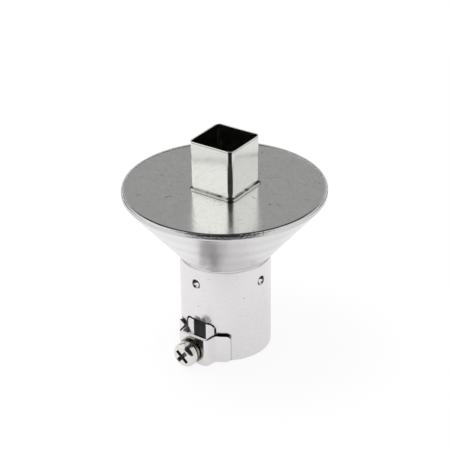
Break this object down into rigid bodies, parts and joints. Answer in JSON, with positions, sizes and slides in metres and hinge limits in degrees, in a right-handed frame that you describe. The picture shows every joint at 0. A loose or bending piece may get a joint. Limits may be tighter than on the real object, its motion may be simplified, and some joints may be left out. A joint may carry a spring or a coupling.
{
  "type": "hot-air nozzle",
  "caption": "Hot-air rework nozzle: a tube socket with a screw clamp, a spun conical funnel staked into it, and a flat round cover that carries a square sheet-metal outlet.",
  "frame": {"origin": "on the socket's axis, in the plane of the socket's open end", "axes": "+Z along the air's way from the socket to the outlet, -Y from the axis to the clamp screw, X and Y along the sides of the square outlet"},
  "size_m": [0.0508, 0.0508, 0.0569],
  "materials": {
    "satin_steel": "satin stainless sheet",
    "plate_steel": "rolled stainless sheet with light scratches",
    "polished_steel": "bright polished stainless sheet",
    "braze": "dull braze filler",
    "plated_steel": "bright plated steel",
    "spring_steel": "plated spring steel"
  },
  "bodies": {
    "nozzle": {"socket_tube": "satin_steel", "funnel": "satin_steel", "cover_plate": "plate_steel", "outlet_tube": "polished_steel", "outlet_braze": "braze", "clamp_bracket": "satin_steel", "clamp_nut": "plated_steel", "flat_washer": "plated_steel"},
    "lock_washer": {"spring_washer": "spring_steel"},
    "screw": {"clamp_screw": "plated_steel"}
  },
  "joints": [
    {"name": "screw_advance", "type": "slide", "parent": "nozzle", "child": "lock_washer", "axis": [0, 1, 0], "range_m": [-0.001, 0.00025]},
    {"name": "screw_turn", "type": "hinge", "parent": "lock_washer", "child": "screw", "pos_m": [0, -0.0146, 0.0038], "axis": [0, 1, 0], "range_deg": [-725, 185]}
  ],
  "couplings": [
    {"joint": "screw_turn", "follows": "screw_advance", "rad_per_m": 12566}
  ]
}
